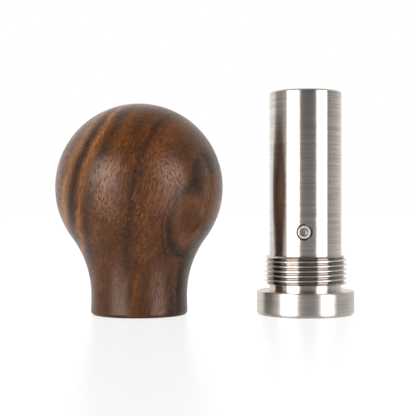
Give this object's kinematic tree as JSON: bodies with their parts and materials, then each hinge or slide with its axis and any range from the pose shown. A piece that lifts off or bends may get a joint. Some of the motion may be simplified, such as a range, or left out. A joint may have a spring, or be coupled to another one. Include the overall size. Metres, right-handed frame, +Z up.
{
  "type": "spring tamper handle",
  "caption": "Turned walnut ball knob standing beside the threaded stainless spring stem it screws on to, with a set screw, a sprung plunger and a tapped socket for a tamping base.",
  "frame": {"origin": "on the stem's axis at the mouth of the base socket, level with the surface that the stem and the knob stand on", "axes": "+Z up along the stem; +X from the knob to the stem, so the knob stands at -X; -Y is the front, where the set screw is"},
  "size_m": [0.0798, 0.0446, 0.0594],
  "materials": {
    "walnut": "oiled satin",
    "turned_steel": "fine turned",
    "screw_steel": "bright",
    "insert_alloy": "fine turned",
    "spring_steel": "drawn wire",
    "bush_plastic": "matt white acetal",
    "ring_rubber": "matt black"
  },
  "bodies": {
    "stem": {"stem_body": "turned_steel", "guide_bush": "bush_plastic", "wiper_ring": "ring_rubber", "spring": "spring_steel"},
    "handle": {"knob": "walnut", "knob_insert": "insert_alloy"},
    "plunger": {"plunger": "turned_steel", "spring_washer": "spring_steel"},
    "set_screw": {"grub_screw": "screw_steel"}
  },
  "joints": [
    {"name": "handle_carry", "type": "slide", "parent": "stem", "child": "handle", "axis": [0.3131, 0, 0.9497], "range_m": [0, 0.14214]},
    {"name": "plunger_slide", "type": "slide", "parent": "stem", "child": "plunger", "axis": [0, 0, 1], "range_m": [0, 0.008], "stiffness_N_per_m": 7200, "springref_m": -0.008, "deforming": ["spring"]},
    {"name": "set_screw_travel", "type": "slide", "parent": "stem", "child": "set_screw", "axis": [-0.1132, -0.9936, 0], "range_m": [0, 0.006]}
  ]
}
